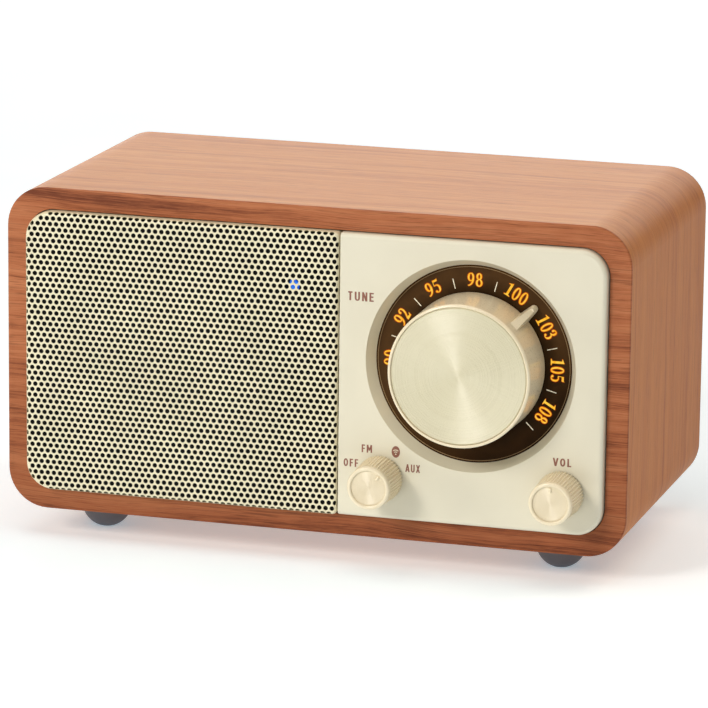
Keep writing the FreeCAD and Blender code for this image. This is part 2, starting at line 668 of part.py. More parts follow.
def make_ribbon():
    """Flat cable from the control board back and down to the main board, and the board headers."""
    x = (36.0, 48.0)
    header_back = BOARD_FRONT + BOARD_T + 3
    high_z, low_z = BOARD_TOP + 9.0, BOARD_TOP + 3.0
    top = box(x, (BOARD_FRONT + BOARD_T, header_back), (high_z - 2, high_z + 2))
    bottom = box(x, (31.5, 35.5), (BOARD_TOP, low_z))
    lead_header = box((24, 30), (33, 36.5), (BOARD_TOP, BOARD_TOP + 4.5))
    save("board_headers", top, bottom, lead_header)
    t, r, end = 0.5, 4.0, 33.5
    path = [(header_back, high_z), (end - r, high_z),
            ((end - r * (1 - math.sqrt(0.5)), high_z - r * (1 - math.sqrt(0.5))), (end, high_z - r)),
            (end, low_z), (end - t, low_z), (end - t, high_z - r)]
    inner = r - t
    path.append(((end - r + inner * math.sqrt(0.5), high_z - r + inner * math.sqrt(0.5)),
                 (end - r, high_z - t)))
    path.append((header_back, high_z - t))
    wire = closed_wire(path, lambda depth, z: V(x[0] + 1, FRONT_Y + depth, z))
    save("ribbon_cable", Part.Face(wire).extrude(V(x[1] - x[0] - 2, 0, 0)))


def make_battery():
    middle_x = -HOLLOW_X + 7.8 + CELL_LENGTH / 2
    ends = (middle_x - CELL_LENGTH / 2, middle_x + CELL_LENGTH / 2)
    centre_z = FLOOR_Z + 2 + CELL_R
    centre_y = FRONT_Y + CELL_DEPTH

    def along(radius, x):
        return Part.makeCylinder(radius, x[1] - x[0], V(x[0], centre_y, centre_z), V(1, 0, 0))

    save("battery_cell", along(CELL_R, ends))
    cradle_x = (ends[0] - 2.0, ends[1] + 2.0)
    cradle = box(cradle_x, (CELL_DEPTH - 11, CELL_DEPTH + 11), (FLOOR_Z, FLOOR_Z + 7))
    bed = [along(CELL_R + 0.1, (ends[0] + 4, ends[1] - 4)),
           along(CELL_R + 0.3, (ends[0] - 0.8, ends[1] + 0.8))]
    save("battery_cradle", cradle.cut(bed))
    contacts = [box((x, x + 0.6), (CELL_DEPTH - 4, CELL_DEPTH + 4), (centre_z - 5, centre_z + 4))
                for x in (ends[0] - 0.7, ends[1] + 0.1)]
    save("battery_contacts", *contacts)


def make_leads():
    gap = 1.5
    start_x = SPEAKER[0] + 25.5
    rear = FRONT_Y + 33
    speaker = []
    for side in (-1, 1):
        z = SPEAKER[1] + 2 * side
        header_x = 27 + gap * side / 2
        speaker.append(wire_lead([(start_x, FRONT_Y + 18.7, z), (start_x, FRONT_Y + 25, z),
                                  (header_x - 8, FRONT_Y + 27, BOARD_TOP + 16),
                                  (header_x, FRONT_Y + 29, BOARD_TOP + 6 + side),
                                  (header_x, rear - 1.6, BOARD_TOP + 2.2),
                                  (header_x, rear, BOARD_TOP + 2.2)], 0.5))
    save("speaker_leads", *speaker)


# ---------------------------------------------------------------- rear

def make_rear_panel():
    depths = (REAR_PANEL_FRONT, REAR_PANEL_FRONT + REAR_PANEL_T)
    panel = centred_slab(WIDTH / 2 - RIM - GAP, HEIGHT / 2 - RIM - GAP, OPENING_R - GAP, depths)
    panel = soften(panel, depths[1], 0.6)
    jack, usb, gland = jack_centre(), usb_centre(), gland_centre()
    holes = [rod(jack, 3.2, 60, 80), rod(gland, 3.0, 60, 80), rod((CHARGE_LAMP_X, usb[1]), 1.1, 60, 80),
             slab((usb[0] - 4.7, usb[0] + 4.7), (usb[1] - 1.8, usb[1] + 1.8), [1.7] * 4, (60, 80))]
    screws = [rear_screw_place(sx, sz) for sx, sz in corner_signs()]
    holes += [rod(place, 1.6, 60, 80) for place in screws]
    save("rear_panel", panel.cut(holes))
    save("rear_panel_screws", *[screw(at(place, depths[1]), AHEAD, 2.6, 1.35, 9.0) for place in screws])


def jack_centre():
    return JACK_X, BOARD_TOP + 3.0


def usb_centre():
    return USB_X, BOARD_TOP + 1.6


def gland_centre():
    return GLAND_X, MID_Z + GLAND_HEIGHT


def make_sockets():
    jack, usb, gland = jack_centre(), usb_centre(), gland_centre()
    case = box((jack[0] - 3.5, jack[0] + 3.5), (59.0, REAR_PANEL_FRONT - 0.2), (BOARD_TOP, BOARD_TOP + 6))
    ferrule = rod(jack, 3.0, REAR_PANEL_FRONT - 0.2, REAR_PANEL_FRONT + REAR_PANEL_T + 0.5)
    save("aux_jack", case.fuse(ferrule).cut(rod(jack, JACK_BORE_R, 60.5, 80)))

    mouth = REAR_PANEL_FRONT + REAR_PANEL_T + 0.3
    shell = slab((usb[0] - 4.47, usb[0] + 4.47), (usb[1] - 1.6, usb[1] + 1.6), [1.55] * 4,
                 (64.5, mouth))
    inside = slab((usb[0] - 4.17, usb[0] + 4.17), (usb[1] - 1.3, usb[1] + 1.3), [1.25] * 4,
                  (65.5, mouth + 1))
    tongue = slab((usb[0] - 3.35, usb[0] + 3.35), (usb[1] - 0.35, usb[1] + 0.35), [0.3] * 4,
                  (65.0, mouth - 0.8))
    save("usb_socket", shell.cut(inside).fuse(tongue))
    save("charge_lamp", rod((CHARGE_LAMP_X, usb[1]), 1.0, 68, REAR_PANEL_FRONT + REAR_PANEL_T + 0.2))

    back = REAR_PANEL_FRONT + REAR_PANEL_T
    collar = [(GLAND_BORE_R, REAR_PANEL_FRONT - 1.2), (4.0, REAR_PANEL_FRONT - 1.2),
              (4.0, REAR_PANEL_FRONT), (2.9, REAR_PANEL_FRONT), (2.9, back), (4.2, back),
              ((3.9, back + 0.7), (3.2, back + 1.0)), (GLAND_BORE_R, back + 1.0)]
    save("aerial_gland", lathe(gland, collar))


os.makedirs("parts", exist_ok=True)
make_cabinet()
make_feet()
make_baffle()
make_grille()
make_control_panel()
make_dial()
make_tuning_knob()
make_small_knob("selector", SELECTOR, SELECTOR_REST)
make_small_knob("volume", VOLUME, VOLUME_REST)
make_controls()
make_control_board()
make_small_screws()
make_status_lamp()
make_speaker()
make_main_board()
make_ribbon()
make_battery()
make_leads()
make_rear_panel()
make_sockets()
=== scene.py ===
import json
import math
import random

import bpy
from mathutils import Matrix, Vector
from mathutils.geometry import delaunay_2d_cdt


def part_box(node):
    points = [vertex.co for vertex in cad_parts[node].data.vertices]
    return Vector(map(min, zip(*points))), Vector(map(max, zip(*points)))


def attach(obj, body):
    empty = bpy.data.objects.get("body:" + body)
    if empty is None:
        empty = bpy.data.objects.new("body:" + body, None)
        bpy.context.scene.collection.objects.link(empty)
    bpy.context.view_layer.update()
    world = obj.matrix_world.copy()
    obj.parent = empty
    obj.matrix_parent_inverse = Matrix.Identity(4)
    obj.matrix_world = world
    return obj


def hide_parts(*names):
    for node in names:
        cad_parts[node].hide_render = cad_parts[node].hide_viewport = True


# Looks of a wooden table radio around its CAD frame. Lengths in this script are millimetres,
# turned into metres where a mesh, light or camera is made. "Depth" is the distance behind the
# wooden front face, and angles on the dial are clockwise from the top, seen from the front.

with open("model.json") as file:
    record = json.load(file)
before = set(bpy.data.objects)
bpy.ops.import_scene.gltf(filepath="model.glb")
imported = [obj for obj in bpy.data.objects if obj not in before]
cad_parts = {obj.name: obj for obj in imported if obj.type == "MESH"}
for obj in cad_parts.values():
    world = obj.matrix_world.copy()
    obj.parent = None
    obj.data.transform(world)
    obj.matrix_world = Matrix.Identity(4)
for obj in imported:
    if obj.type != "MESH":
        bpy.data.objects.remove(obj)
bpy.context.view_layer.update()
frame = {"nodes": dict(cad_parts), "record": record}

MM = 0.001


def span(node):
    """Lowest and highest corner of a CAD node, in millimetres."""
    low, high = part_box(node)
    return low / MM, high / MM


def middle(node):
    low, high = span(node)
    return (low + high) / 2


FRONT_Y = span("front_veneer")[0].y
CABINET_TOP = span("wrap_veneer")[1].z
MID_Z = middle("front_veneer").z
DIAL = middle("dial_scale")
SELECTOR = middle("selector_shaft")
VOLUME = middle("volume_shaft")
PANEL_FACE = span("control_panel")[0].y - FRONT_Y
DIAL_FACE = span("dial_scale")[0].y - FRONT_Y


# ---------------------------------------------------------------- camera, floor and light

def make_camera():
    yaw, elevation, roll = (math.radians(a) for a in (16.631, 13.203, 0.652))
    distance, right_of_middle, above_middle = 1092.5, 9.529, 3.803
    back = Vector((math.sin(yaw) * math.cos(elevation), -math.cos(yaw) * math.cos(elevation),
                   math.sin(elevation)))
    level = Vector((math.cos(yaw), math.sin(yaw), 0))
    upright = back.cross(level)
    right = level * math.cos(roll) + upright * math.sin(roll)
    up = upright * math.cos(roll) - level * math.sin(roll)
    aim = Vector((0, FRONT_Y, MID_Z)) + right * right_of_middle + up * above_middle
    data = bpy.data.cameras.new("camera")
    data.lens, data.sensor_width = 240.72, 36.0
    data.clip_end = 20.0
    camera = bpy.data.objects.new("camera", data)
    bpy.context.scene.collection.objects.link(camera)
    turn = Matrix((right, up, back)).transposed().to_4x4()
    camera.matrix_world = Matrix.Translation((aim + back * distance) * MM) @ turn
    bpy.context.scene.camera = camera


def softbox(name, place, aim, size, watts, colour=(1, 1, 1)):
    data = bpy.data.lights.new(name, "AREA")
    data.shape = "RECTANGLE"
    data.size, data.size_y = size[0] * MM, size[1] * MM
    data.energy = watts
    data.color = colour
    light = bpy.data.objects.new(name, data)
    bpy.context.scene.collection.objects.link(light)
    place, aim = Vector(place), Vector(aim)
    turn = (aim - place).to_track_quat("-Z", "Y").to_matrix().to_4x4()
    light.matrix_world = Matrix.Translation(place * MM) @ turn


def make_studio():
    target = (0, 0, MID_Z)
    softbox("key_light", (-504, -936, 608), target, (330, 330), 6.8, (1.0, 0.955, 0.89))
    softbox("left_light", (-1150, -620, 150), target, (160, 320), 1.8, (1.0, 0.95, 0.88))
    softbox("top_light", (-60, -300, 1250), target, (1100, 800), 5.6, (1.0, 0.96, 0.90))
    softbox("front_light", (300, -1500, 500), target, (900, 500), 0.3, (1.0, 0.96, 0.92))
    softbox("right_light", (540, 230, 880), target, (450, 450), 2.6, (1.0, 0.84, 0.66))
    softbox("rear_light", (-250, 1500, 420), target, (1400, 600), 11.5, (1.0, 0.96, 0.91))
    world = bpy.data.worlds.new("studio")
    world.use_nodes = True
    background = world.node_tree.nodes["Background"]
    background.inputs["Color"].default_value = (1.0, 0.92, 0.80, 1.0)
    background.inputs["Strength"].default_value = 0.08
    bpy.context.scene.world = world
    bpy.context.scene.view_settings.view_transform = "Standard"

    shader = Shader("floor_paint", roughness=0.9)
    speck = shader.noise(shader.place(0.02), detail=4)
    shader.set("Base Color", shader.ramp(speck, [(0.3, (240, 246, 249)), (0.7, (244, 249, 251))]))
    shader.set("Emission Color", (0.27, 0.315, 0.35, 1))
    shader.set("Emission Strength", 1.0)
    half = 6000 * MM
    mesh = bpy.data.meshes.new("floor")
    mesh.from_pydata([(-half, -half, 0), (half, -half, 0), (half, half, 0), (-half, half, 0)], [],
                     [(0, 1, 2, 3)])
    mesh.materials.append(shader.material)
    floor = bpy.data.objects.new("floor", mesh)
    bpy.context.scene.collection.objects.link(floor)


# ---------------------------------------------------------------- shader helper

def linear(rgb):
    """Screen colour 0-255 as linear RGBA."""
    channels = [c / 255 for c in rgb]
    curve = [c / 12.92 if c <= 0.04045 else ((c + 0.055) / 1.055) ** 2.4 for c in channels]
    return (*curve, 1.0)


class Shader:
    """Node tree of one material. An input takes a plain value or another node's output."""

    def __init__(self, name, **settings):
        self.material = bpy.data.materials.new(name)
        self.material.use_nodes = True
        self.tree = self.material.node_tree
        self.principled = self.tree.nodes["Principled BSDF"]
        for key, value in settings.items():
            self.set(key.replace("_", " ").title(), value)

    def set(self, name, value):
        names = {"Ior": "IOR", "Specular Ior Level": "Specular IOR Level"}
        self.feed(self.principled.inputs[names.get(name, name)], value)

    def feed(self, socket, value):
        if isinstance(value, bpy.types.NodeSocket):
            self.tree.links.new(value, socket)
        else:
            socket.default_value = value

    def node(self, kind, inputs, output=0, **settings):
        node = self.tree.nodes.new("ShaderNode" + kind)
        for key, value in settings.items():
            setattr(node, key, value)
        for key, value in inputs.items():
            self.feed(node.inputs[key], value)
        return node.outputs[output]

    def place(self, x, y=None, z=None):
        """Object coordinates in millimetres, stretched by a factor along each axis."""
        factors = (x, x if y is None else y, x if z is None else z)
        start = self.node("TexCoord", {}, output="Object")
        return self.stretch(start, *(f / MM for f in factors))

    def stretch(self, vector, x, y, z):
        return self.node("VectorMath", {0: vector, 1: (x, y, z)}, operation="MULTIPLY")

    def shift(self, vector, offset):
        return self.node("VectorMath", {0: vector, 1: offset}, operation="ADD")

    def split(self, vector):
        node = self.tree.nodes.new("ShaderNodeSeparateXYZ")
        self.feed(node.inputs[0], vector)
        return node.outputs

    def join(self, x, y, z):
        return self.node("CombineXYZ", {0: x, 1: y, 2: z})

    def maths(self, operation, a, b=0.0, c=0.0):
        return self.node("Math", {0: a, 1: b, 2: c}, operation=operation)

    def noise(self, vector, detail=3.0, roughness=0.5, distortion=0.0):
        return self.node("TexNoise", {"Vector": vector, "Scale": 1.0, "Detail": detail,
                                      "Roughness": roughness, "Distortion": distortion})

    def cells(self, vector, feature="F1", output="Distance", randomness=1.0):
        return self.node("TexVoronoi", {"Vector": vector, "Scale": 1.0, "Randomness": randomness},
                         output=output, feature=feature)

    def range(self, value, low, high, to_low=0.0, to_high=1.0):
        return self.node("MapRange", {"Value": value, "From Min": low, "From Max": high,
                                      "To Min": to_low, "To Max": to_high})

    def ramp(self, value, stops):
        """Colour along a value, from (place, screen colour) stops."""
        node = self.tree.nodes.new("ShaderNodeValToRGB")
        elements = node.color_ramp.elements
        while len(elements) < len(stops):
            elements.new(1.0)
        for element, (place, rgb) in zip(elements, stops):
            element.position = place
            element.color = linear(rgb)
        self.feed(node.inputs[0], value)
        return node.outputs[0]

    def blend(self, factor, a, b, mode="MIX"):
        node = self.tree.nodes.new("ShaderNodeMix")
        node.data_type = "RGBA"
        node.blend_type = mode
        self.feed(node.inputs[0], factor)
        self.feed(node.inputs[6], a)
        self.feed(node.inputs[7], b)
        return node.outputs[2]

    def bump(self, height, distance, strength=1.0):
        """Surface relief; the height's full range is the distance in millimetres."""
        normal = self.node("Bump", {"Height": height, "Distance": distance * MM,
                                    "Strength": strength})
        self.set("Normal", normal)


# ---------------------------------------------------------------- materials

def veneer(name, wrapped, light, mid, dark, figure):
    """Satin cherry veneer with its grain along X. A wrapped one runs on down the cabinet's sides,
    which are painted darker and more golden as shade; a flat one has painted shade darkening it
    downwards. Figure is how strongly the grain shows."""
    shader = Shader(name, specular_ior_level=0.16)
    x, y, z = shader.split(shader.place(1.0))
    if wrapped:
        drop = shader.maths("SUBTRACT", CABINET_TOP, z)
        along = shader.maths("MULTIPLY_ADD", shader.maths("SIGN", x), drop, x)
        across = y
    else:
        along = x
        across = shader.maths("MULTIPLY_ADD", x, 0.02, z)
    sweep = shader.noise(shader.join(shader.maths("MULTIPLY", along, 0.012),
                                     shader.maths("MULTIPLY", across, 0.035), 1.7), detail=2)
    across = shader.maths("MULTIPLY_ADD", sweep, 9.0, across)

    def grain(along_scale, across_scale, seed, detail, roughness):
        return shader.noise(shader.join(shader.maths("MULTIPLY", along, along_scale),
                                        shader.maths("MULTIPLY", across, across_scale), seed),
                            detail=detail, roughness=roughness)

    bands = grain(0.006, 0.22, 3.1, 3.0, 0.55)
    streaks = grain(0.009, 1.15, 8.4, 5.0, 0.62)
    fibres = grain(0.10, 5.0, 5.9, 5.0, 0.7)
    flecks = grain(0.13, 4.5, 12.5, 2.0, 0.5)
    mottle = grain(0.22, 0.40, 21.3, 3.0, 0.6)
    tone = shader.maths("MULTIPLY", shader.maths("ADD", bands, streaks), 0.5)
    tone = shader.maths("ADD", tone, shader.range(fibres, 0.3, 0.7, -0.09, 0.09))
    tone = shader.maths("ADD", tone, shader.range(mottle, 0.3, 0.7, -0.02, 0.02))
    tone = shader.maths("MULTIPLY_ADD", shader.maths("SUBTRACT", tone, 0.5), figure, 0.5)
    colour = shader.ramp(tone, [(0.34, dark), (0.47, mid), (0.62, light)])
    line = shader.range(streaks, 0.58, 0.66, 0.0, 0.5 * figure)
    colour = shader.blend(line, colour, linear(dark))
    pore = shader.range(flecks, 0.58, 0.68, 0.0, 0.5 * figure)
    colour = shader.blend(pore, colour, linear([c * 0.72 for c in dark]))
    if wrapped:
        # Painted shade: the sides are tinted darker and more golden for the way the light falls on them.
        side = shader.range(shader.maths("ABSOLUTE", x), 66.0, 75.0)
        painted_side_shade = shader.ramp(side, [(0.0, (255, 252, 240)), (1.0, (244, 222, 178))])
        colour = shader.blend(1.0, colour, painted_side_shade, "MULTIPLY")
    else:
        # Painted shade: the flat veneer darkens towards the bottom, where less light falls.
        low = shader.range(shader.maths("SUBTRACT", MID_Z, z), -5.0, 40.0)
        shade = shader.ramp(low, [(0.0, (255, 255, 255)), (1.0, (222, 212, 204))])
        colour = shader.blend(1.0, colour, shade, "MULTIPLY")
    shader.set("Base Color", colour)
    shader.set("Roughness", shader.range(fibres, 0.3, 0.7, 0.44, 0.58))
    shader.bump(shader.maths("SUBTRACT", fibres, pore), 0.03, 0.4)
    return shader.material


def raw_board(name, light, dark):
    """Fibreboard or sawn softwood, unfinished."""
    shader = Shader(name, roughness=0.85)
    fibre = shader.noise(shader.place(0.4, 2.0, 2.0), detail=5, roughness=0.7)
    shader.set("Base Color", shader.ramp(fibre, [(0.35, dark), (0.65, light)]))
    shader.bump(fibre, 0.08)
    return shader.material


def moulded(name, colour, roughness, grain=0.35, relief=0.01, spread=6, **settings):
    """Moulded or painted surface with faint mottling and a fine even texture."""
    shader = Shader(name, **settings)
    cloud = shader.noise(shader.place(0.06), detail=3)
    darker = [max(0, c - spread) for c in colour]
    lighter = [min(255, c + spread / 2) for c in colour]
    shader.set("Base Color", shader.ramp(cloud, [(0.35, darker), (0.65, lighter)]))
    texture = shader.noise(shader.place(1 / grain), detail=2)
    shader.set("Roughness", shader.range(texture, 0.3, 0.7, roughness - 0.04, roughness + 0.04))
    shader.bump(texture, relief, 0.6)
    return shader.material


def metal(name, colour, roughness, brushed=(0.2, 6.0, 6.0), relief=0.004):
    """Plated or uncoated metal with fine tool marks along one axis."""
    shader = Shader(name, metallic=1.0)
    marks = shader.noise(shader.place(*brushed), detail=4, roughness=0.6)
    stain = shader.noise(shader.place(0.25), detail=3)
    darker = [c * 0.82 for c in colour]
    shader.set("Base Color", shader.ramp(stain, [(0.3, darker), (0.7, colour)]))
    shader.set("Roughness", shader.range(marks, 0.3, 0.7, roughness - 0.08, roughness + 0.1))
    shader.bump(marks, relief, 0.7)
    return shader.material


def woven(name, colour, pitch, roughness=0.9, relief=0.08):
    """Plain weave in the X-Z plane."""
    shader = Shader(name, roughness=roughness, sheen_weight=0.04)
    x, _, z = shader.split(shader.place(math.pi / pitch))
    threads = shader.maths("MULTIPLY", shader.maths("SINE", x), shader.maths("SINE", z))
    fluff = shader.noise(shader.place(2.0), detail=4)
    height = shader.maths("ADD", threads, fluff)
    # Painted shade: the low parts of the weave, between the threads, are darker.
    dark = [c * 0.5 for c in colour]
    shader.set("Base Color", shader.ramp(shader.range(height, -0.5, 1.5), [(0.2, dark), (0.8, colour)]))
    shader.bump(height, relief)
    return shader.material


def lamp(name, colour, glow, watts):
    """Lit lens, hotter in the middle of its grain."""
    shader = Shader(name, roughness=0.25)
    cloud = shader.noise(shader.place(0.8), detail=2)
    light = shader.ramp(cloud, [(0.3, glow), (0.7, colour)])
    shader.set("Base Color", light)
    shader.set("Emission Color", light)
    shader.set("Emission Strength", watts)
    return shader.material


def circuit(name):
    """Green solder mask over copper tracks."""
    shader = Shader(name, roughness=0.35, coat_weight=0.3)
    tracks = shader.cells(shader.place(0.35), feature="DISTANCE_TO_EDGE")
    copper = shader.range(tracks, 0.05, 0.07, 1.0, 0.0)
    shader.set("Base Color", shader.blend(copper, linear((16, 84, 48)), linear((44, 122, 70))))
    shader.bump(copper, 0.03)
    return shader.material


def dial_glass(name):
    """Polished dark brown acrylic, warmer towards its lamps, with painted shade darkening it towards the
    lower right, where the knob's shadow falls.
    """
    shader = Shader(name, roughness=0.3, specular_ior_level=0.03)
    away = shader.shift(shader.place(1.0), (-DIAL.x, -DIAL.y, -DIAL.z))
    x, _, z = shader.split(away)
    radius = shader.maths("SQRT", shader.maths("ADD", shader.maths("MULTIPLY", x, x),
                                               shader.maths("MULTIPLY", z, z)))
    cloud = shader.noise(shader.place(0.2), detail=3)
    warm = shader.maths("ADD", shader.range(radius, 16.0, 23.0, 0.0, 0.7),
                        shader.range(cloud, 0.3, 0.7, 0.0, 0.3))
    colour = shader.ramp(warm, [(0.0, (36, 24, 11)), (0.6, (78, 54, 30)), (1.0, (66, 45, 24))])
    # Painted shade: darker towards the lower right, for the knob's shadow.
    lower_right = shader.maths("SUBTRACT", shader.maths("MULTIPLY", x, 0.6), z)
    shade = shader.range(lower_right, 2.0, 22.0)
    shade = shader.ramp(shade, [(0.0, (255, 255, 255)), (1.0, (176, 166, 146))])
    colour = shader.blend(1.0, colour, shade, "MULTIPLY")
    shader.set("Base Color", colour)
    shader.set("Emission Color", colour)
    shader.set("Emission Strength", 0.04)
    return shader.material


def make_materials():
    cream = (229, 223, 202)
    return {
        "core_board": raw_board("core_board", (150, 118, 84), (118, 90, 62)),
        "veneer": veneer("front_cherry", False, (191, 122, 83), (171, 101, 65), (114, 59, 37), 1.0),
        # The wrap veneer is the front's cherry made lighter and more golden: painted light for its
        # brighter top.
        "wrap_veneer": veneer("wrap_cherry_painted_light", True, (210, 149, 95), (198, 132, 80), (168, 100, 60), 0.8),
        "block_wood": raw_board("softwood", (206, 170, 122), (172, 134, 88)),
        "foot_rubber": moulded("foot_rubber", (98, 97, 103), 0.55, grain=0.3, relief=0.02),
        "grille_paint": moulded("grille_enamel", (236, 228, 196), 0.36, grain=0.5, relief=0.012,
                                coat_weight=0.25, coat_roughness=0.2),
        "acoustic_cloth": woven("acoustic_cloth", (9, 8, 5), 0.35),
        "panel_plastic": moulded("panel_cream", cream, 0.4, grain=0.25, relief=0.006, spread=3,
                                 coat_weight=0.5, coat_roughness=0.12),
        "knob_plastic": moulded("knob_cream", (243, 229, 198), 0.30, grain=0.4, relief=0.004, spread=3,
                                coat_weight=0.6, coat_roughness=0.12),
        "knob_insert": moulded("knob_spun_face", (224, 217, 188), 0.36, grain=0.2, relief=0.002,
                               spread=3, specular_ior_level=0.8),
        "dial_gloss": dial_glass("dial_acrylic"),
        "diffuser_plastic": moulded("milky_plastic", (236, 232, 220), 0.5),
        "amber_lamp": lamp("amber_lens", (255, 190, 60), (255, 150, 30), 2.0),
        "blue_lamp": lamp("blue_lens", (70, 150, 255), (0, 60, 215), 0.9),
        "red_lamp": lamp("red_lens", (255, 70, 40), (200, 30, 20), 0.6),
        "black_plastic": moulded("black_moulding", (30, 30, 31), 0.5, grain=0.45, relief=0.03),
        "switch_plastic": moulded("switch_casing", (62, 62, 66), 0.5),
        "zinc_steel": metal("zinc_plate", (176, 176, 172), 0.34),
        "black_steel": moulded("black_oxide", (34, 34, 36), 0.4, metallic=0.6),
        "nickel": metal("nickel_plate", (206, 202, 192), 0.24),
        "brass_posts": metal("turned_brass", (214, 170, 98), 0.28),
        "circuit_board": circuit("solder_mask"),
        "chip_plastic": moulded("epoxy_case", (26, 26, 26), 0.6),
        "capacitor_can": metal("capacitor_can", (196, 198, 202), 0.3),
        "cone_paper": woven("pressed_pulp", (40, 40, 41), 0.9, relief=0.05),
        "surround_foam": moulded("surround_rubber", (34, 34, 34), 0.6),
        "gasket_foam": moulded("gasket_foam", (38, 38, 38), 0.95, grain=0.6, relief=0.15),
        "spider_cloth": woven("spider_weave", (188, 146, 72), 0.5),
        "coil_copper": metal("enamelled_wire", (206, 118, 66), 0.3, brushed=(1.0, 9.0, 1.0)),
        "ferrite": moulded("pressed_ferrite", (62, 62, 64), 0.75, grain=0.3, relief=0.03),
        "cell_case": moulded("cell_wrap", (52, 108, 178), 0.3, coat_weight=0.3),
        "lead_insulation": moulded("red_insulation", (176, 34, 26), 0.45),
        "ribbon_plastic": moulded("flat_cable", (206, 206, 210), 0.4),
    }


def dress_frame(materials):
    """Give every CAD node the finish of its material slot, except the wrap veneer, which takes a lighter,
    more golden copy of the cherry as painted light for its brightly lit top.
    """
    own = {"wrap_veneer": "wrap_veneer"}
    for part in frame["record"]["subparts"]:
        node = frame["nodes"][part["node"]]
        finish = materials[own.get(part["node"], part["material_slot"])]
        if not node.material_slots:
            node.data.materials.append(None)
        for slot in node.material_slots:
            slot.link = "OBJECT"
            slot.material = finish


# ---------------------------------------------------------------- mesh helpers

def put(mesh, material, body, slot, *replaced):
    """Show a mesh as a piece of one body, in place of CAD nodes if any are named."""
    piece = bpy.data.objects.new(mesh.name, mesh)
    bpy.context.scene.collection.objects.link(piece)
    if material is not None:
        mesh.materials.append(material)
    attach(piece, body)
    if replaced:
        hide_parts(*replaced)
    return piece


def solid(name, vertices, faces, loop_normals=None):
    mesh = bpy.data.meshes.new(name)
    mesh.from_pydata([Vector(v) * MM for v in vertices], [], faces)
    mesh.polygons.foreach_set("use_smooth", [True] * len(faces))
    if loop_normals is not None:
        mesh.normals_split_custom_set(loop_normals)
    mesh.update()
    return mesh


def without_spares(vertices, faces):
    """Only the vertices that the faces use, and the faces renumbered to match."""
    used = sorted({v for face in faces for v in face})
    renumber = {old: new for new, old in enumerate(used)}
    return [vertices[v] for v in used], [tuple(renumber[v] for v in face) for face in faces]


def at(x, depth, z):
    return Vector((x, FRONT_Y + depth, z))


def on_clock(centre, radius, degrees):
    turn = math.radians(degrees)
    return centre[0] + radius * math.sin(turn), centre[1] + radius * math.cos(turn)


# ---------------------------------------------------------------- grille

GRILLE_T = 0.3
GRILLE_ROLL = 0.9
HOLE_R = 0.55
HOLE_LIP = 0.61
HOLE_BEVEL = 0.06
HOLE_PITCH = 1.52
HOLE_SIDES = 12
HOLE_RING = [(math.cos(2 * math.pi * k / HOLE_SIDES), math.sin(2 * math.pi * k / HOLE_SIDES))
             for k in range(HOLE_SIDES)]
HOLE_TO_BORDER = 0.06
HOLE_TO_BEND_POINT = 0.15
BEND_ROWS = (0.0, 0.35, 0.7, 1.05)
BEND_STEP = 0.7
BORDER_STEP = 0.8
GRILLE_CORNER_R = 6.35


class RolledSheet:
    """Flat sheet whose edges roll back. Flat-pattern points (x, z) map to the bent sheet."""

    def __init__(self, low, high, corner):
        self.front = low.y
        self.depth = high.y - low.y
        self.x = (low.x + GRILLE_ROLL, high.x - GRILLE_ROLL)
        self.z = (low.z + GRILLE_ROLL, high.z - GRILLE_ROLL)
        self.corner = corner - GRILLE_ROLL

    def beyond(self, x, z):
        """Distance past the flat part, with the nearest flat point and the way outwards."""
        r = self.corner if x < (self.x[0] + self.x[1]) / 2 else 0.0
        core = Vector((min(max(x, self.x[0] + r), self.x[1]), min(max(z, self.z[0] + r), self.z[1] - r)))
        away = Vector((x, z)) - core
        if away.length <= r or away.length < 1e-9:
            return 0.0, Vector((x, z)), Vector((0.0, 0.0))
        outwards = away.normalized()
        return away.length - r, core + outwards * r, outwards

    def place(self, x, z, sink=0.0):
        """Point and outward normal at a depth below the sheet's front surface."""
        past, edge, outwards = self.beyond(x, z)
        turn = min(past / GRILLE_ROLL, math.pi / 2)
        straight = past - GRILLE_ROLL * turn
        normal = Vector((outwards.x * math.sin(turn), -math.cos(turn), outwards.y * math.sin(turn)))
        reach = edge + outwards * GRILLE_ROLL * math.sin(turn)
        back = GRILLE_ROLL * (1 - math.cos(turn)) + straight
        return Vector((reach.x, self.front + back, reach.y)) - normal * sink, normal

    def outline(self, past, step):
        """Flat-pattern loop at a distance past the flat part, anticlockwise."""
        loop = []
        for cx, cz, r, start in [(self.x[0], self.z[0], self.corner, 180), (self.x[1], self.z[0], 0, 270),
                                 (self.x[1], self.z[1], 0, 0), (self.x[0], self.z[1], self.corner, 90)]:
            centre = (cx + (r if cx == self.x[0] else 0),
                      cz + (r if cz == self.z[0] else -r))
            sweep = max(2, round((r + past) * math.pi / 2 / step))
            for count in range(sweep + 1):
                turn = math.radians(start + 90 * count / sweep)
                loop.append((centre[0] + (r + past) * math.cos(turn),
                             centre[1] + (r + past) * math.sin(turn)))
        filled = []
        for a, b in zip(loop, loop[1:] + loop[:1]):
            pieces = max(1, round(math.dist(a, b) / step))
            for count in range(pieces):
                share = count / pieces
                filled.append((a[0] + (b[0] - a[0]) * share, a[1] + (b[1] - a[1]) * share))
        return filled


def hole_centres(sheet, last):
    """Staggered hole centres in the flat pattern, whose outer rows are a distance past the flat part."""
    run, rise = sheet.x[1] - sheet.x[0] + 2 * last, sheet.z[1] - sheet.z[0] + 2 * last
    half_columns = round(2 * run / HOLE_PITCH)
    rows = round(rise / (HOLE_PITCH * math.sqrt(3) / 2))
    centres = []
    for row in range(rows + 1):
        for half in range(row % 2, half_columns + 1, 2):
            x = sheet.x[0] - last + run * half / half_columns
            z = sheet.z[0] - last + rise * row / rows
            if sheet.beyond(x, z)[0] <= last + HOLE_TO_BORDER / 2:
                centres.append((x, z))
    return centres


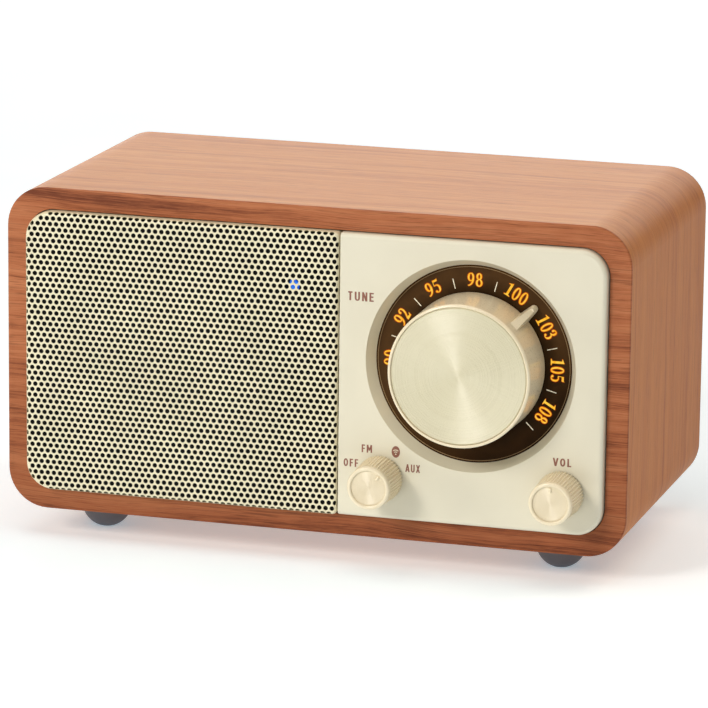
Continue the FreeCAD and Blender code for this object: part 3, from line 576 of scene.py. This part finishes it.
def bend_points(sheet, centres):
    """Flat-pattern points along the bend, clear of the holes, so that the roll is drawn round."""
    nearby = {}
    for x, z in centres:
        nearby.setdefault((round(x), round(z)), []).append((x, z))
    points = []
    for past in BEND_ROWS:
        for x, z in sheet.outline(past, BEND_STEP):
            holes = [centre for i in (-1, 0, 1) for k in (-1, 0, 1)
                     for centre in nearby.get((round(x) + i, round(z) + k), [])]
            if all(math.dist((x, z), centre) > HOLE_LIP + HOLE_TO_BEND_POINT for centre in holes):
                points.append((x, z))
    return points


def flat_pattern(sheet, centres, border):
    """Points and triangles of the flat pattern around its holes, and the index of each drawn point.

    The border is drawn first, and then the lip of each hole."""
    drawn = list(border)
    loops = [list(range(len(border)))]
    for x, z in centres:
        loops.append(list(range(len(drawn), len(drawn) + HOLE_SIDES)))
        drawn += [(x + HOLE_LIP * c, z + HOLE_LIP * s) for c, s in HOLE_RING]
    drawn += bend_points(sheet, centres)
    points, _, triangles, sources, _, _ = delaunay_2d_cdt([Vector(p) for p in drawn], [], loops, 2, 1e-5)
    where = {original: index for index, source in enumerate(sources) for original in source}
    return points, triangles, where


class GrilleMesh:
    """Faces of the bent sheet, each with its corner normals and whether it is in the shade."""

    def __init__(self, sheet):
        self.sheet = sheet
        self.vertices, self.normals = [], []
        self.faces, self.face_normals, self.shaded = [], [], []

    def vertex(self, x, z, sink, further_back=0.0):
        place, normal = self.sheet.place(x, z, sink)
        self.vertices.append(place + Vector((0, further_back, 0)))
        self.normals.append(normal)
        return len(self.vertices) - 1

    def face(self, corners, normals, in_shade=0):
        self.faces.append(tuple(corners))
        self.face_normals.extend(normals)
        self.shaded.append(in_shade)

    def outward(self, corners):
        return [self.normals[v] for v in corners]

    def inward(self, corners):
        return [-self.normals[v] for v in corners]

    def hole(self, centre, lips):
        """Bevel and wall of one hole below its lip. Returns the corners of the wall's back edge."""
        x, z = centre
        axis, _ = self.sheet.place(x, z, HOLE_BEVEL)
        throat, foot, walls = [], [], []
        for c, s in HOLE_RING:
            throat.append(self.vertex(x + HOLE_R * c, z + HOLE_R * s, HOLE_BEVEL))
            foot.append(self.vertex(x + HOLE_R * c, z + HOLE_R * s, GRILLE_T))
            towards, normal = axis - self.vertices[throat[-1]], self.normals[throat[-1]]
            walls.append((towards - normal * towards.dot(normal)).normalized())
        for k in range(HOLE_SIDES):
            n = (k + 1) % HOLE_SIDES
            self.face((lips[k], lips[n], throat[n], throat[k]),
                      (self.normals[lips[k]], self.normals[lips[n]], walls[n], walls[k]))
            self.face((throat[k], throat[n], foot[n], foot[k]),
                      (walls[k], walls[n], walls[n], walls[k]), 1)
        return foot

    def rim(self, border, front, back):
        """Straight wall behind the roll, from the front and back vertices along the border."""
        wall = self.sheet.depth - GRILLE_ROLL
        outer, inner = [], []
        for x, z in border:
            outer.append(self.vertex(x, z, 0.0, wall))
            inner.append(self.vertex(x, z, GRILLE_T, wall))
        for k in range(len(border)):
            n = (k + 1) % len(border)
            outside = (front[n], front[k], outer[k], outer[n])
            inside = (back[k], back[n], inner[n], inner[k])
            self.face(outside, self.outward(outside))
            self.face(inside, self.inward(inside))
            self.face((outer[n], outer[k], inner[k], inner[n]), [Vector((0, 1, 0))] * 4)


def make_grille(material, shade_paint):
    low, high = span("grille")
    sheet = RolledSheet(low, high, GRILLE_CORNER_R)
    quarter = GRILLE_ROLL * math.pi / 2
    centres = hole_centres(sheet, quarter - HOLE_LIP - HOLE_TO_BORDER)
    border = sheet.outline(quarter, BORDER_STEP)
    points, triangles, where = flat_pattern(sheet, centres, border)

    grille = GrilleMesh(sheet)
    for sink in (0.0, GRILLE_T):
        for x, z in points:
            grille.vertex(x, z, sink)
    back = len(points)
    foot_under = {}
    for number, centre in enumerate(centres):
        first = len(border) + HOLE_SIDES * number
        lips = [where[first + k] for k in range(HOLE_SIDES)]
        foot_under.update(zip(lips, grille.hole(centre, lips)))
    for a, b, c in triangles:
        grille.face((a, b, c), grille.outward((a, b, c)))
        grille.face([foot_under.get(v, v + back) for v in (a, c, b)], grille.inward((a, c, b)), 1)
    rim = [where[k] for k in range(len(border))]
    grille.rim(border, rim, [v + back for v in rim])

    mesh = solid("speaker_grille", *without_spares(grille.vertices, grille.faces), grille.face_normals)
    # Faces in the shade, the hole walls and the back of the sheet, take a darker olive copy of the
    # enamel: painted shade.
    mesh.materials.append(material)
    mesh.materials.append(shade_paint)
    mesh.polygons.foreach_set("material_index", grille.shaded)
    return put(mesh, None, "cabinet", "grille_paint", "grille")


# ---------------------------------------------------------------- turned pieces

def lathe(name, centre, profile, sides, facets=False):
    """Surface of revolution about the line along Y through a centre, from (radius, depth) points.

    With facets each band keeps its own slope, as a turning tool leaves it."""
    vertices, faces, loops = [], [], []
    rings = []
    for radius, depth in profile:
        if radius == 0:
            rings.append([len(vertices)] * sides)
            vertices.append(at(centre[0], depth, centre[1]))
            continue
        ring = []
        for side in range(sides):
            turn = 2 * math.pi * side / sides
            ring.append(len(vertices))
            vertices.append(at(centre[0] + radius * math.cos(turn), depth,
                               centre[1] + radius * math.sin(turn)))
        rings.append(ring)
    for band, (inner, outer) in enumerate(zip(rings, rings[1:])):
        (r0, d0), (r1, d1) = profile[band], profile[band + 1]
        length = math.hypot(r1 - r0, d1 - d0)
        out, ahead = (d1 - d0) / length, -(r1 - r0) / length
        for side in range(sides):
            n = (side + 1) % sides
            corners = [(inner[side], side), (outer[side], side), (outer[n], n), (inner[n], n)]
            if inner[side] == inner[n]:
                corners = corners[:3]
            elif outer[side] == outer[n]:
                corners = [corners[0], corners[1], corners[3]]
            faces.append(tuple(c[0] for c in corners))
            for _, step in corners:
                turn = 2 * math.pi * step / sides
                loops.append(Vector((out * math.cos(turn), ahead, out * math.sin(turn))))
    return solid(name, vertices, faces, loops if facets else None)


SMALL_RECESS = 0.5
SMALL_SKIN_R = 4.0


def spun_rings(radius, surface, seed):
    """Profile of a face cut with fine concentric grooves, from its middle out to a radius."""
    pitch = 0.25
    draw = random.Random(seed)
    profile = [(0.0, surface + 0.02)]
    for groove in range(int((radius - 0.1) / pitch)):
        start = 0.15 + pitch * groove
        slope = math.tan(math.radians(draw.uniform(19.0, 28.0)))
        profile += [(start, surface), (start + pitch / 2, surface + slope * pitch / 2)]
    return profile


def make_spun_face(material):
    """Face insert of the tuning knob."""
    low, high = span("tuning_knob_face")
    radius = (high.x - low.x) / 2
    surface, seat = low.y - FRONT_Y, high.y - FRONT_Y
    profile = spun_rings(radius - 0.25, surface, 5)
    profile += [(radius - 0.25, surface), (radius, surface + 0.25), (radius, seat), (0.0, seat)]
    mesh = lathe("tuning_knob_spun_face", (DIAL.x, DIAL.z), profile, 192, facets=True)
    return put(mesh, material, "tuning", "knob_insert", "tuning_knob_face")


def make_small_faces(material):
    """Turned skin on the recessed face of each small knob, thinner than its index mark is high."""
    for index, (body, centre) in enumerate([("selector", SELECTOR), ("volume", VOLUME)]):
        floor = span(body + "_knob")[0].y - FRONT_Y + SMALL_RECESS
        surface, seat = floor - 0.1, floor - 0.005
        profile = spun_rings(SMALL_SKIN_R, surface, 6 + index)
        profile += [(SMALL_SKIN_R, surface), (SMALL_SKIN_R, seat), (0.0, seat)]
        mesh = lathe(body + "_spun_face", (centre.x, centre.z), profile, 96, facets=True)
        put(mesh, material, body, "knob_insert")


def make_dial_ring(material):
    """Hair-thin bright line turned round the edge of the dial: a painted highlight for the light caught
    on the dial's bevelled edge.
    """
    inner, outer, top = 22.66, 22.8, DIAL_FACE - 0.07
    profile = [(inner, DIAL_FACE + 0.03), (inner, top + 0.03), ((inner + outer) / 2, top),
               (outer, top + 0.03), (outer, DIAL_FACE + 0.03), (inner, DIAL_FACE + 0.03)]
    mesh = lathe("dial_ring", (DIAL.x, DIAL.z), profile, 192)
    return put(mesh, material, "cabinet", "brass_posts")


# ---------------------------------------------------------------- lettering

BROAD_NIB = (0.06, 0.026)
BOLD_NIB = (0.088, 0.078)


def bezier(points, count=10):
    a, b, c, d = (Vector(p) for p in points)
    path = []
    for step in range(count + 1):
        t = step / count
        u = 1 - t
        path.append(a * u ** 3 + b * 3 * u * u * t + c * 3 * u * t * t + d * t ** 3)
    return path


def ellipse(centre, radii, count=28):
    return [Vector((centre[0] + radii[0] * math.cos(2 * math.pi * k / count),
                    centre[1] + radii[1] * math.sin(2 * math.pi * k / count))) for k in range(count + 1)]


# Serif digits one unit high: pen strokes, drawn with a nib wider than it is tall, and filled shapes.
DIGITS = {
    "0": {"strokes": [ellipse((0.27, 0.5), (0.185, 0.465))]},
    "1": {"shapes": [[(0.19, 0.04), (0.36, 0.04), (0.36, 1.0), (0.31, 1.0), (0.19, 0.88)],
                     [(0.05, 0.85), (0.19, 0.86), (0.31, 1.0), (0.05, 0.89)],
                     [(0.06, 0.0), (0.49, 0.0), (0.49, 0.05), (0.36, 0.09), (0.19, 0.09), (0.06, 0.05)]]},
    "2": {"strokes": [bezier([(0.08, 0.74), (0.10, 1.0), (0.40, 1.03), (0.40, 0.72)]),
                      bezier([(0.40, 0.72), (0.40, 0.50), (0.22, 0.30), (0.09, 0.09)])],
          "shapes": [[(0.03, 0.0), (0.44, 0.0), (0.50, 0.25), (0.46, 0.25), (0.40, 0.15), (0.12, 0.15),
                      (0.03, 0.05)], ellipse((0.10, 0.75), (0.075, 0.07), 12)[:-1]]},
    "3": {"strokes": [bezier([(0.08, 0.78), (0.12, 1.01), (0.38, 1.02), (0.38, 0.78)]),
                      bezier([(0.38, 0.78), (0.38, 0.62), (0.28, 0.55), (0.16, 0.53)]),
                      bezier([(0.16, 0.53), (0.36, 0.55), (0.43, 0.42), (0.42, 0.27)]),
                      bezier([(0.42, 0.27), (0.40, 0.03), (0.18, 0.0), (0.09, 0.12)])],
          "shapes": [ellipse((0.10, 0.77), (0.07, 0.065), 12)[:-1],
                     ellipse((0.10, 0.14), (0.08, 0.075), 12)[:-1]]},
    "5": {"strokes": [bezier([(0.10, 0.56), (0.30, 0.66), (0.47, 0.50), (0.42, 0.27)]),
                      bezier([(0.42, 0.27), (0.39, 0.03), (0.18, 0.0), (0.09, 0.12)])],
          "shapes": [[(0.13, 0.985), (0.44, 0.985), (0.50, 1.04), (0.44, 0.84), (0.15, 0.84)],
                     [(0.12, 0.985), (0.16, 0.985), (0.10, 0.58), (0.06, 0.55)],
                     ellipse((0.10, 0.14), (0.08, 0.075), 12)[:-1]]},
    "8": {"strokes": [ellipse((0.27, 0.75), (0.145, 0.215)), ellipse((0.27, 0.28), (0.185, 0.245))]},
    "9": {"strokes": [ellipse((0.27, 0.68), (0.175, 0.285)),
                      bezier([(0.445, 0.70), (0.46, 0.36), (0.33, 0.08), (0.06, 0.04)])]},
}


def line(*points):
    return [Vector(p) for p in points]


UPRIGHT = line((0.09, 0.0), (0.09, 1.0))
RIGHT_UPRIGHT = line((0.43, 0.0), (0.43, 1.0))

# Plain capitals one unit high: width, then pen strokes.
CAPITALS = {
    "A": (0.52, [line((0.05, 0.0), (0.26, 1.0)), line((0.47, 0.0), (0.26, 1.0)),
                 line((0.12, 0.27), (0.40, 0.27))]),
    "B": (0.50, [UPRIGHT, bezier([(0.09, 0.92), (0.46, 0.95), (0.46, 0.53), (0.09, 0.53)]),
                 bezier([(0.09, 0.53), (0.54, 0.53), (0.54, 0.05), (0.09, 0.08)])]),
    "E": (0.44, [UPRIGHT, line((0.09, 0.92), (0.42, 0.92)), line((0.09, 0.52), (0.39, 0.52)),
                 line((0.09, 0.08), (0.42, 0.08))]),
    "F": (0.42, [UPRIGHT, line((0.09, 0.92), (0.41, 0.92)), line((0.09, 0.50), (0.38, 0.50))]),
    "L": (0.42, [UPRIGHT, line((0.09, 0.08), (0.41, 0.08))]),
    "M": (0.66, [UPRIGHT, line((0.57, 0.0), (0.57, 1.0)), line((0.10, 1.0), (0.33, 0.28)),
                 line((0.56, 1.0), (0.33, 0.28))]),
    "N": (0.52, [UPRIGHT, RIGHT_UPRIGHT, line((0.09, 1.0), (0.43, 0.0))]),
    "O": (0.54, [ellipse((0.27, 0.5), (0.185, 0.425))]),
    "S": (0.48, [bezier([(0.40, 0.78), (0.36, 0.98), (0.10, 0.98), (0.10, 0.73)]),
                 bezier([(0.10, 0.73), (0.10, 0.50), (0.40, 0.54), (0.40, 0.27)]),
                 bezier([(0.40, 0.27), (0.40, 0.02), (0.10, 0.02), (0.07, 0.24)])]),
    "T": (0.46, [line((0.23, 0.0), (0.23, 1.0)), line((0.02, 0.92), (0.44, 0.92))]),
    "U": (0.52, [line((0.09, 0.3), (0.09, 1.0)), line((0.43, 0.3), (0.43, 1.0)),
                 bezier([(0.09, 0.32), (0.09, -0.02), (0.43, -0.02), (0.43, 0.32)])]),
    "V": (0.52, [line((0.05, 1.0), (0.26, 0.0)), line((0.47, 1.0), (0.26, 0.0))]),
    "X": (0.50, [line((0.06, 0.0), (0.44, 1.0)), line((0.44, 0.0), (0.06, 1.0))]),
}


def pen(path, nib, spread):
    """Quads of a stroke drawn with an oval nib, wider all round by a spread."""
    a, b = nib[0] + spread, nib[1] + spread
    sides = []
    for index, point in enumerate(path):
        before, after = path[max(index - 1, 0)], path[min(index + 1, len(path) - 1)]
        if path[0] == path[-1] and index in (0, len(path) - 1):
            before, after = path[-2], path[1]
        along = (after - before).normalized()
        across = Vector((-along.y, along.x))
        reach = math.hypot(a * across.x, b * across.y)
        offset = Vector((a * a * across.x, b * b * across.y)) / reach
        sides.append((point + offset, point - offset))
    return [[s[0], t[0], t[1], s[1]] for s, t in zip(sides, sides[1:])]


def grow(shape, spread):
    """A filled shape moved outwards from its middle by a spread."""
    centre = sum((Vector(p) for p in shape), Vector((0, 0))) / len(shape)
    return [Vector(p) + (Vector(p) - centre).normalized() * spread for p in shape]


def lettering(glyphs, size, spread=0.0):
    """Polygons of a row of digits, centred on the origin, in millimetres."""
    advance = {"1": 0.56}
    widths = [advance.get(g, 0.62) for g in glyphs]
    start = -sum(widths) / 2
    polygons = []
    for glyph, width in zip(glyphs, widths):
        shapes = [quad for path in DIGITS[glyph].get("strokes", [])
                  for quad in pen(path, BROAD_NIB, spread)]
        shapes += [grow(shape, spread) for shape in DIGITS[glyph].get("shapes", [])]
        margin = (width - 0.54) / 2
        for shape in shapes:
            polygons.append([Vector((p[0] + start + margin, p[1] - 0.5)) * size for p in shape])
        start += width
    return polygons


def capitals(word, centre, height, width, way=1):
    """Polygons of a letter-spaced word, scaled to a height and a width; way -1 is read from behind."""
    gap = 0.2
    start, polygons = 0.0, []
    for letter in word:
        advance, strokes = CAPITALS[letter]
        polygons += [[(p[0] + start, p[1]) for p in quad] for path in strokes
                     for quad in pen(path, BOLD_NIB, 0.0)]
        start += advance + gap
    length = start - gap
    return [[(centre[0] + way * (p[0] / length - 0.5) * width, centre[1] + (p[1] - 0.5) * height)
             for p in polygon] for polygon in polygons]


def anticlockwise(polygon):
    """The polygon with its corners in anticlockwise order."""
    turns = zip(polygon, polygon[1:] + polygon[:1])
    area = sum(a[0] * b[1] - b[0] * a[1] for a, b in turns)
    return polygon if area > 0 else polygon[::-1]


def covered(point, polygons):
    """Whether any of the polygons holds the point."""
    for polygon in polygons:
        inside = False
        for a, b in zip(polygon, polygon[1:] + polygon[:1]):
            if (a[1] > point.y) != (b[1] > point.y):
                if point.x < a[0] + (b[0] - a[0]) * (point.y - a[1]) / (b[1] - a[1]):
                    inside = not inside
        if inside:
            return True
    return False


def print_flat(name, groups, depth, thickness, material, slot):
    """Thin printed layer from groups of polygons; overlaps within a group are merged."""
    vertices, faces = [], []
    for polygons in groups:
        points, shapes = [], []
        for polygon in polygons:
            shapes.append(list(range(len(points), len(points) + len(polygon))))
            points += [Vector((p[0], p[1])) for p in anticlockwise(polygon)]
        flat, _, cells, _, _, _ = delaunay_2d_cdt(points, [], shapes, 1, 1e-5)
        kept = [cell for cell in cells
                if covered(sum((flat[v] for v in cell), Vector((0, 0))) / len(cell), polygons)]
        edge_use = {}
        for cell in kept:
            for a, b in zip(cell, cell[1:] + cell[:1]):
                edge_use[(a, b)] = edge_use.get((a, b), 0) + 1
        first, count = len(vertices), len(flat)
        vertices += [at(p.x, depth - thickness, p.y) for p in flat]
        vertices += [at(p.x, depth, p.y) for p in flat]
        for cell in kept:
            faces.append(tuple(first + v for v in cell))
            faces.append(tuple(first + count + v for v in reversed(cell)))
        for a, b in edge_use:
            if (b, a) not in edge_use:
                faces.append((first + b, first + a, first + count + a, first + count + b))
    mesh = solid(name, *without_spares(vertices, faces))
    mesh.polygons.foreach_set("use_smooth", [False] * len(mesh.polygons))
    return put(mesh, material, "cabinet", slot)


def round_dial(polygons, radius, degrees):
    """Polygons drawn upright at the origin, moved round the dial to stand on its centre."""
    turn = math.radians(degrees)
    x0, z0 = on_clock((DIAL.x, DIAL.z), radius, degrees)
    cos, sin = math.cos(turn), math.sin(turn)
    return [[(x0 + p[0] * cos + p[1] * sin, z0 - p[0] * sin + p[1] * cos) for p in polygon]
            for polygon in polygons]


def make_dial_print():
    numbers = ["88", "90", "92", "95", "98", "100", "103", "105", "108"]
    height, radius = 3.15, 19.75
    places = [(text, 30 * (index - 4)) for index, text in enumerate(numbers)]
    core = Shader("number_light", roughness=0.6, specular_ior_level=0.1)
    hot = core.noise(core.place(0.9), detail=2)
    light = core.ramp(hot, [(0.35, (255, 178, 32)), (0.6, (255, 206, 72))])
    core.set("Base Color", (0.02, 0.01, 0.0, 1))
    core.set("Emission Color", light)
    core.set("Emission Strength", 1.0)
    # The halo is painted glow: a wider emissive print under each number, for the light that spills round
    # it.
    halo = Shader("number_halo", roughness=0.6, specular_ior_level=0.1)
    cooler = halo.noise(halo.place(0.7), detail=2)
    ember = halo.ramp(cooler, [(0.35, (168, 62, 10)), (0.65, (204, 84, 14))])
    halo.set("Base Color", (0.02, 0.005, 0.0, 1))
    halo.set("Emission Color", ember)
    halo.set("Emission Strength", 1.0)
    for name, spread, lift, thickness, shader in [
            ("dial_number_halo", 0.05, 0.02, 0.03, halo), ("dial_numbers", 0.0, 0.05, 0.03, core)]:
        groups = [round_dial(lettering(text, height, spread), radius, degrees)
                  for text, degrees in places]
        print_flat(name, groups, DIAL_FACE - lift, thickness, shader.material, "amber_lamp")

    ticks = []
    for index in range(10):
        bar = [(-0.1, -1.2), (0.1, -1.2), (0.1, 1.2), (-0.1, 1.2)]
        ticks.append(round_dial([bar], 19.1, -135 + 30 * index))
    pale = Shader("tick_paint", roughness=0.5)
    wear = pale.noise(pale.place(1.5), detail=3)
    tone = pale.ramp(wear, [(0.3, (196, 184, 158)), (0.6, (240, 232, 208))])
    pale.set("Base Color", tone)
    pale.set("Emission Color", tone)
    pale.set("Emission Strength", 0.3)
    print_flat("dial_ticks", ticks, DIAL_FACE - 0.02, 0.03, pale.material, "diffuser_plastic")


def make_legends(panel):
    shader = Shader("legend_ink", roughness=0.55)
    blot = shader.noise(shader.place(3.0), detail=3)
    shader.set("Base Color", shader.ramp(blot, [(0.3, (134, 84, 68)), (0.7, (152, 100, 84))]))
    ink = shader.material
    surface = PANEL_FACE - 0.015
    for name, word, x, z, height in [
            ("legend_tune", "TUNE", (8.9, 15.1), 18.8, 2.1),
            ("legend_fm", "FM", (12.6, 15.1), -16.95, 1.85),
            ("legend_off", "OFF", (8.3, 11.8), -20.6, 1.85),
            ("legend_aux", "AUX", (23.2, 26.6), -20.75, 1.85),
            ("legend_vol", "VOL", (58.1, 62.4), -16.3, 1.9)]:
        letters = capitals(word, ((x[0] + x[1]) / 2, MID_Z + z), height, x[1] - x[0])
        print_flat(name, [letters], surface, 0.012, ink, "panel_plastic")

    centre, half = (20.8, MID_Z - 17.15), (1.0, 1.375)
    lozenge = [(centre[0] + p.x, centre[1] + p.y) for p in ellipse((0, 0), half, 32)[:-1]]
    print_flat("legend_wireless", [[lozenge]], surface, 0.012, ink, "panel_plastic")
    source = (centre[0], centre[1] - 0.55)
    waves = [[(source[0] + p.x, source[1] + p.y) for p in ellipse((0, 0), (0.17, 0.17), 12)[:-1]]]
    for radius in (0.55, 1.0):
        path = [Vector(on_clock(source, radius, degrees)) for degrees in range(-38, 39, 4)]
        waves += pen(path, (0.1, 0.1), 0.0)
    print_flat("legend_wireless_arcs", [waves], surface - 0.014, 0.01, panel, "panel_plastic")

    pale = moulded("rear_ink", (196, 196, 192), 0.5)
    back = span("rear_panel")[1].y - FRONT_Y + 0.03
    for name, word, node, rise, width in [
            ("rear_legend_aux", "AUX", "aux_jack", 6.2, 4.4),
            ("rear_legend_power", "USB", "usb_socket", 5.0, 4.2),
            ("rear_legend_aerial", "FM", "aerial_gland", 7.2, 3.0)]:
        place = middle(node)
        letters = capitals(word, (place.x, place.z + rise), 1.9, width, -1)
        print_flat(name, [letters], back, 0.02, pale, "black_plastic")


# ---------------------------------------------------------------- build

materials = make_materials()
make_camera()
make_studio()
dress_frame(materials)
# The grille's second finish is painted shade for its hole walls and back.
make_grille(materials["grille_paint"], moulded("grille_painted_shade", (96, 88, 52), 0.6))
make_spun_face(materials["knob_insert"])
make_small_faces(moulded("knob_turned_face", (238, 224, 194), 0.36, grain=0.2, relief=0.002, spread=3,
                         specular_ior_level=0.8))
# The dial ring is a painted highlight for the glint on the dial's edge.
make_dial_ring(moulded("dial_edge_painted_highlight", (150, 122, 84), 0.4))
make_dial_print()
make_legends(materials["panel_plastic"])
